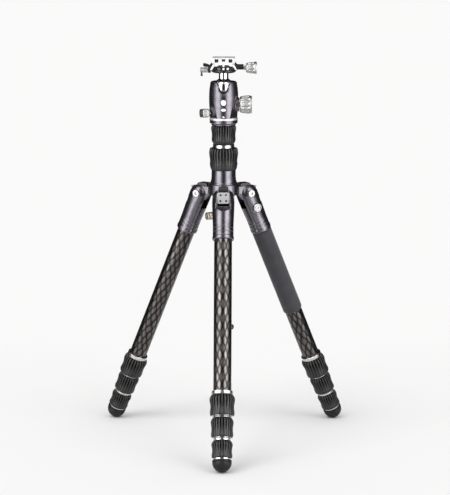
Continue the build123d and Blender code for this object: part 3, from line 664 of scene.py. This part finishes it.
def plate_screws():
    """Four socket screws in each lug plate, all one piece on the spider."""
    low, high = box_mm("lug_plate_screws")
    middle = (low.z + high.z) / 2
    head = SCREW_HEAD
    outline = [(head, 0.0), (head, 0.9), (head - 0.25, 1.3), (head * 0.62, 1.35), (head * 0.55, 1.25),
               (head * 0.5, 0.4), (0, 0.4)]
    screws = []
    for leg in LEGS:
        outward = spoke_outward(leg)
        plate_back = span("lug_plates", axes(Vector((0, 0, 0)), UP, outward))[1] - SCREW_SINK
        across = UP.cross(outward)
        for i in (-1, 1):
            for j in (-1, 1):
                spot = (outward * plate_back + UP * (middle + i * SCREW_UP / 2)
                        + across * (j * SCREW_ACROSS / 2))
                screws.append(lathe("screw", outline, axes(spot * MM, UP, outward), black_metal, 32))
    bpy.ops.object.select_all(action="DESELECT")
    for screw in screws:
        screw.select_set(True)
    bpy.context.view_layer.objects.active = screws[0]
    bpy.ops.object.join()
    joined = bpy.context.view_layer.objects.active
    joined.name = "lug_plate_socket_screws"
    bpy.ops.object.transform_apply(location=True, rotation=True, scale=True)
    settle(joined, "spider", "black_metal", "lug_plate_screws")


def fluted(count, depth, start, end):
    """Carve function: round-ended flutes along the shaft, between two stations."""
    middle = (start + end) / 2
    half = (end - start) / 2

    def carve(radius, station, angle):
        along = 1 - ((station - middle) / half) ** 2
        if along <= 0:
            return radius
        across = 0.5 + 0.5 * math.cos(count * angle)
        return radius - depth * min(1.0, 1.6 * along) * across ** 1.4
    return carve


def knob_axes(joint_name):
    """Axes on a turning joint's line, with z along the joint's axis."""
    joint = joints[joint_name]
    axis = Vector(joint["axis"])
    side = UP if abs(axis.z) < 0.7 else Vector((1, 0, 0))
    return axes(Vector(joint["pos_m"]), side, axis)


def outward_knob(joint_name, node):
    """A knob's axes with z pointing away from the column, and its span along it."""
    place = knob_axes(joint_name)
    near, far = span(node, place)
    middle = place @ Vector((0, 0, (near + far) / 2 * MM))
    outward = Vector((middle.x, middle.y, 0))
    if place.col[2].to_3d().dot(outward) < 0:
        place = place @ Matrix.Rotation(math.pi, 4, "X")
        near, far = -far, -near
    return place, near, far


def hub_thumb_screw():
    place, near, far = outward_knob("hub_thumb_turn", "hub_thumb_screw")
    outline = [(2.5, near), (2.5, far - 12.3), (5.4, far - 12.3), (6.1, far - 11.4), (6.1, far - 5.2),
               (5.2, far - 4.3), (4.9, far - 3.6), (5.2, far - 2.8), (6.1, far - 2.3), (6.1, far - 0.7),
               (5.4, far), (2.4, far), (2.0, far - 0.4), (0, far - 0.4)]
    settle(lathe("hub_thumb_screw_turned", finer(outline, 0.6), place, brass_metal, 22 * 8,
                 knurled(22, 0.4, far - 11.2, far - 5.4)), "hub_thumb", "steel", "hub_thumb_screw")


plate_screws()
hub_thumb_screw()


# ---------------------------------------------------------------- ball head
paint("head_mount_plate", casting)
paint("head_base", head_casting)
paint("index_ring", ring_metal)
paint("head_housing", head_casting)
paint("ball_cup", black_plastic)
paint("ball_stem", chrome_ball)
paint("clamp_base", black_metal)


def ball_lock_knob():
    place, near, far = outward_knob("ball_lock_turn", "ball_lock_knob")
    outline = [(4.0, near), (4.0, far - 19.0), (11.6, far - 19.0), (12.8, far - 17.8), (13.9, far - 12.8),
               (14.45, far - 6.8), (14.45, far - 2.5), (14.1, far - 2.1), (13.7, far - 1.9),
               (13.7, far - 0.5), (13.2, far), (9.6, far), (9.2, far - 0.5), (0, far - 0.7)]
    settle(lathe("ball_lock_knob_turned", finer(outline, 0.5), place, knob_metal, 14 * 20,
                 fluted(14, 1.6, far - 17.4, far - 3.0), 40), "ball_lock", "silver_metal", "ball_lock_knob")


def pan_lock_knob():
    place, near, far = outward_knob("pan_lock_turn", "pan_lock_knob")
    outline = [(2.5, near), (2.5, far - 15.4), (5.3, far - 15.4), (6.3, far - 14.0), (7.15, far - 10.5),
               (7.15, far - 4.7), (6.8, far - 4.2), (6.4, far - 4.0)]
    settle(lathe("pan_lock_knob_turned", finer(outline, 0.6), place, knob_metal, 20 * 8,
                 knurled(20, 0.5, far - 13.6, far - 4.9)), "pan_lock", "silver_metal", "pan_lock_knob")
    cap = [(6.5, far - 4.0), (6.6, far - 3.8), (6.6, far - 1.0), (5.8, far), (0, far)]
    settle(lathe("pan_lock_knob_cap", finer(cap, 0.8), place, black_plastic, 96), "pan_lock", "black_plastic")


def disc(name, middle, half_width, half_height, thickness, outward, finish):
    """Flat oval standing on a face: middle is in millimetres, outward is the way it faces."""
    outline = [(half_width * math.cos(2 * math.pi * i / 48), half_height * math.sin(2 * math.pi * i / 48))
               for i in range(48)]
    level = UP.cross(outward)
    return slab(name, outline, thickness, axes(Vector(middle) * MM, level, outward), finish)


def head_marks():
    """Plain round badge, oval plate and index dot on the front of the head."""
    front = Vector((0, -1, 0))
    for name, height, wide, tall, reach, thickness, finish in (
            ("head_round_badge_rim", 545.0, 5.6, 5.6, 22.7, 0.4, black_metal),
            ("head_round_badge", 545.0, 4.5, 4.5, 22.9, 0.28, plate_metal),
            ("head_oval_plate_rim", 533.5, 5.8, 3.5, 22.4, 0.5, black_metal),
            ("head_oval_plate", 533.5, 4.6, 2.3, 22.7, 0.3, plate_metal),
            ("head_index_dot", 522.3, 1.4, 1.4, 21.8, 0.4, plate_metal)):
        piece = disc(name, (0, -reach, height), wide, tall, thickness, front, finish)
        settle(piece, "head", slot_of(finish))


ball_lock_knob()
pan_lock_knob()
head_marks()


# ---------------------------------------------------------------- clamp and camera plate
paint("clamp_body", black_metal)
paint("clamp_jaw", black_metal)
paint("camera_plate", plate_metal)


def clamp_knob():
    place, near, far = outward_knob("clamp_knob_turn", "clamp_knob")
    outline = [(2.0, near), (2.0, far - 20.2), (3.6, far - 20.2), (3.6, far - 17.2), (6.9, far - 16.8),
               (7.8, far - 15.4), (8.9, far - 10.4), (9.35, far - 3.4), (9.8, far - 2.8), (9.8, far - 1.2),
               (9.0, far), (6.4, far), (6.0, far - 0.5), (0, far - 0.6)]
    settle(lathe("clamp_knob_turned", finer(outline, 0.45), place, knob_metal, 10 * 24,
                 fluted(10, 1.2, far - 15.4, far - 3.4), 40), "clamp_knob", "silver_metal", "clamp_knob")


def clamp_thumb_screw():
    place, near, far = outward_knob("clamp_thumb_turn", "clamp_thumb_screw")
    outline = [(1.6, near), (1.6, far - 11.4), (3.5, far - 11.4), (4.15, far - 10.8), (4.15, far - 4.6),
               (3.6, far - 4.2), (3.6, far - 3.4), (4.15, far - 3.0), (4.15, far - 0.6), (3.5, far), (0, far)]
    settle(lathe("clamp_thumb_screw_turned", finer(outline, 0.5), place, knob_metal, 18 * 8,
                 knurled(18, 0.35, far - 10.6, far - 4.8)),
           "clamp_thumb", "silver_metal", "clamp_thumb_screw")
    low, high = box_mm("clamp_thumb_screw")
    lever = axes(Vector((low.x + 2.0, 0, low.z)) * MM, Vector((1, 0, 0)), UP)
    tip = [(0, 0), (1.2, 0.0), (1.8, 0.5), (1.85, 1.6), (1.5, 3.0), (1.3, 6.0), (0, 6.0)]
    settle(lathe("clamp_thumb_screw_tip", tip, lever, black_plastic, 40), "clamp_thumb", "black_plastic")


def camera_screw():
    """Knurled head under the plate and a threaded pin in its middle."""
    low, high = box_mm("camera_screw")
    place = axes(Vector((0, 0, low.z * MM)), Vector((1, 0, 0)), UP)
    tall = high.z - low.z
    outline = [(0, 0.6), (4.2, 0.6), (4.4, 0.0), (7.3, 0.0), (7.9, 0.5), (7.9, 3.4), (7.4, 4.0), (3.0, 4.0),
               (3.0, 8.2)]
    pitch = 1.27
    for i in range(int((tall - 0.6 - 8.4) / pitch)):
        base = 8.4 + i * pitch
        outline += [(2.65, base), (3.15, base + pitch / 2)]
    outline += [(2.6, tall - 0.2), (2.3, tall), (0, tall)]
    settle(lathe("camera_screw_turned", outline, place, steel, 40 * 6, knurled(40, 0.3, 0.4, 3.5)),
           "camera_screw", "steel", "camera_screw")


PLATE_TOP = 615.0
POCKET_FLOOR = 15.4          # how far out the floors of the plate's end pockets lie
PLATE_END = 19.4
CLAMP_FRONT = 20.0
ENDS = (("front", Vector((0, -1, 0))), ("back", Vector((0, 1, 0))))


def end_slab(name, outline, reach, thickness, outward, finish, body):
    """Flat piece on an end face; its outline holds (x, z) places in millimetres."""
    across = outward.y * -1
    turned = [(x * across, z) for x, z in outline]
    place = axes(outward * reach * MM, Vector((across, 0, 0)), outward)
    settle(slab(name, turned, thickness, place, finish), body, slot_of(finish))


def plate_end_painted_light():
    """Painted light on the plate's ends: dark sheets on the floors of its end pockets as painted shade, a
    dark lower band as painted shade, and a bright strip in the band's middle as a painted highlight.
    """
    for end, outward in ENDS:
        for name, x, drop, wide, tall in (("left", -11, 4.4, 5.8, 5.2), ("middle", 0, 3.6, 5.6, 3.6),
                                          ("right", 11, 4.4, 5.8, 5.2)):
            # Painted shade: dark sheet on a pocket's floor.
            end_slab("camera_plate_insert_" + end + "_" + name,
                     rounded_rectangle(wide, tall, 0.8, (x, PLATE_TOP - drop)), POCKET_FLOOR + 0.1, 1.2,
                     outward, black_plastic, "quick_plate")
        # Painted shade: dark band low on the plate's end.
        band = [(-10.6, 600.6), (10.6, 600.6), (9.6, 602.8), (7.4, 604.2), (-7.4, 604.2), (-9.6, 602.8)]
        end_slab("camera_plate_shade_band_" + end, band, PLATE_END - 0.1, 0.3, outward, black_plastic,
                 "quick_plate")
        # Painted highlight: bright strip in the middle of the dark band.
        end_slab("camera_plate_key_" + end, rounded_rectangle(3.0, 3.6, 0.5, (0, 602.4)),
                 PLATE_END + 0.1, 0.3, outward, plate_metal, "quick_plate")


def clamp_trim():
    """Painted highlights: bright strips down both sides of the clamp's ends, standing for the highlights on
    their chamfered edges, and a bright strip between two round fittings.
    """
    for end, outward in ENDS:
        for name, side, body in (("fixed", -1, "clamp"), ("sliding", 1, "jaw")):
            # Painted highlight: bright strip for the highlight on a chamfered edge.
            strip = [(side * x, z) for x, z in ((14.2, 605.6), (16.6, 605.6), (21.3, 596.4), (18.6, 596.4),
                                                (14.2, 602.6))]
            end_slab("clamp_edge_highlight_" + name + "_" + end, strip, CLAMP_FRONT - 0.1, 0.4, outward,
                     plate_metal, body)
        # Painted highlight: bright vertical strip in the middle of the clamp's end.
        end_slab("clamp_key_" + end, rounded_rectangle(2.8, 3.6, 0.5, (0, 598.0)), CLAMP_FRONT - 0.1, 0.4,
                 outward, plate_metal, "clamp")
        for name, x, finish in (("left", -7.2, steel), ("right", 6.8, plate_metal)):
            middle = outward * (CLAMP_FRONT - 0.1) + Vector((x, 0, 598.2))
            settle(disc("clamp_fitting_" + name + "_" + end, middle, 2.0, 1.8, 0.45, outward, finish),
                   "clamp", slot_of(finish))


clamp_knob()
clamp_thumb_screw()
camera_screw()
plate_end_painted_light()
clamp_trim()


# ---------------------------------------------------------------- floor, lights and camera
FLOOR_REACH = 45.0           # metres, as are the cards' sizes
CARD_REACH = 0.9
CARD_TOP = 1.8
FRONT_CARD_TOP = 1.5
HIGH_CARD_TOP = 3.2
BACK_CARD_LOW = 0.47
CAMERA_AT = (37.0, -2950.0, 843.7)
CAMERA_DOWN = 10.254         # degrees below level
CAMERA_TURN = 0.677
FOCAL_LENGTH = 135.73
def floor():
    mesh = bpy.data.meshes.new("floor")
    corners = [(x * FLOOR_REACH, y * FLOOR_REACH, 0) for x, y in ((-1, -1), (1, -1), (1, 1), (-1, 1))]
    mesh.from_pydata(corners, [], [(0, 1, 2, 3)])
    made = Finish("floor_paint", Roughness=0.9, Specular_IOR_Level=0.0)
    made.set("Base Color", made.blend(made.noise(3, 3), grey(0.80, 0.002), grey(0.815, 0.002)))
    mesh.materials.append(made.material)
    piece = bpy.data.objects.new("floor", mesh)
    bpy.context.scene.collection.objects.link(piece)


def glowing(name, vertices, faces, strength):
    """Surface that only polished things see, as a studio card."""
    mesh = bpy.data.meshes.new(name)
    mesh.from_pydata(vertices, [], faces)
    material = bpy.data.materials.new(name)
    material.use_nodes = True
    nodes = material.node_tree.nodes
    nodes.remove(nodes["Principled BSDF"])
    glow = nodes.new("ShaderNodeEmission")
    glow.inputs["Strength"].default_value = strength
    material.node_tree.links.new(glow.outputs[0], nodes["Material Output"].inputs["Surface"])
    mesh.materials.append(material)
    piece = bpy.data.objects.new(name, mesh)
    bpy.context.scene.collection.objects.link(piece)
    piece.visible_camera = False
    piece.visible_diffuse = False
    piece.visible_shadow = False
    piece.visible_transmission = False


def card(name, start, end, reach, low, high, strength):
    """Upright curved card; start and end are degrees round from the camera's side, towards +X."""
    steps = 24
    vertices = []
    for i in range(steps + 1):
        angle = math.radians(start + (end - start) * i / steps)
        for height in (low, high):
            vertices.append((reach * math.sin(angle), -reach * math.cos(angle), height))
    glowing(name, vertices, [(2 * i, 2 * i + 2, 2 * i + 3, 2 * i + 1) for i in range(steps)], strength)


def lid(name, reach, height, strength):
    """Level half-round card over the back of the object."""
    steps = 24
    vertices = [(reach * math.cos(math.pi * i / steps), reach * math.sin(math.pi * i / steps), height)
                for i in range(steps + 1)]
    glowing(name, vertices, [tuple(range(steps + 1))], strength)


def sun(name, azimuth, elevation, strength, softness):
    light = bpy.data.lights.new(name, "SUN")
    light.energy = strength
    light.angle = math.radians(softness)
    lamp = bpy.data.objects.new(name, light)
    bpy.context.scene.collection.objects.link(lamp)
    a, e = math.radians(azimuth), math.radians(elevation)
    towards = Vector((math.sin(a) * math.cos(e), -math.cos(a) * math.cos(e), math.sin(e)))
    lamp.rotation_euler = towards.to_track_quat("Z", "Y").to_euler()


def world(level):
    made = bpy.data.worlds.new("studio")
    made.use_nodes = True
    background = made.node_tree.nodes["Background"]
    background.inputs["Color"].default_value = (1, 1, 1, 1)
    background.inputs["Strength"].default_value = level
    bpy.context.scene.world = made


def camera():
    lens = bpy.data.cameras.new("camera")
    lens.lens = FOCAL_LENGTH
    lens.sensor_width = 36.0
    holder = bpy.data.objects.new("camera", lens)
    bpy.context.scene.collection.objects.link(holder)
    holder.location = Vector(CAMERA_AT) * MM
    holder.rotation_euler = (math.radians(90 - CAMERA_DOWN), 0, math.radians(CAMERA_TURN))
    bpy.context.scene.camera = holder


floor()
card("card_dark_front", -16, 16, CARD_REACH, 0.0, FRONT_CARD_TOP, 0.03)
card("card_front_high", -9, 9, CARD_REACH, FRONT_CARD_TOP, HIGH_CARD_TOP, 0.5)
for side, sign in (("left", -1), ("right", 1)):
    card("card_" + side + "_inner", 16 * sign, 27 * sign, CARD_REACH, 0.0, CARD_TOP, 1.3)
    card("card_" + side + "_key", 27 * sign, 64 * sign, CARD_REACH, 0.0, CARD_TOP, 4.8)
    card("card_" + side + "_outer", 64 * sign, 82 * sign, CARD_REACH, 0.0, CARD_TOP, 1.3)
    card("card_dark_" + side, 82 * sign, 165 * sign, CARD_REACH, 0.0, CARD_TOP, 0.02)
card("card_dark_back", 165, 195, CARD_REACH, BACK_CARD_LOW, CARD_TOP, 0.02)
lid("card_dark_lid", CARD_REACH, CARD_TOP, 0.03)
sun("key", -50, 50, 1.1, 40)
sun("fill", 50, 42, 0.7, 40)
world(0.765)
camera()
bpy.context.scene.view_settings.view_transform = "Standard"
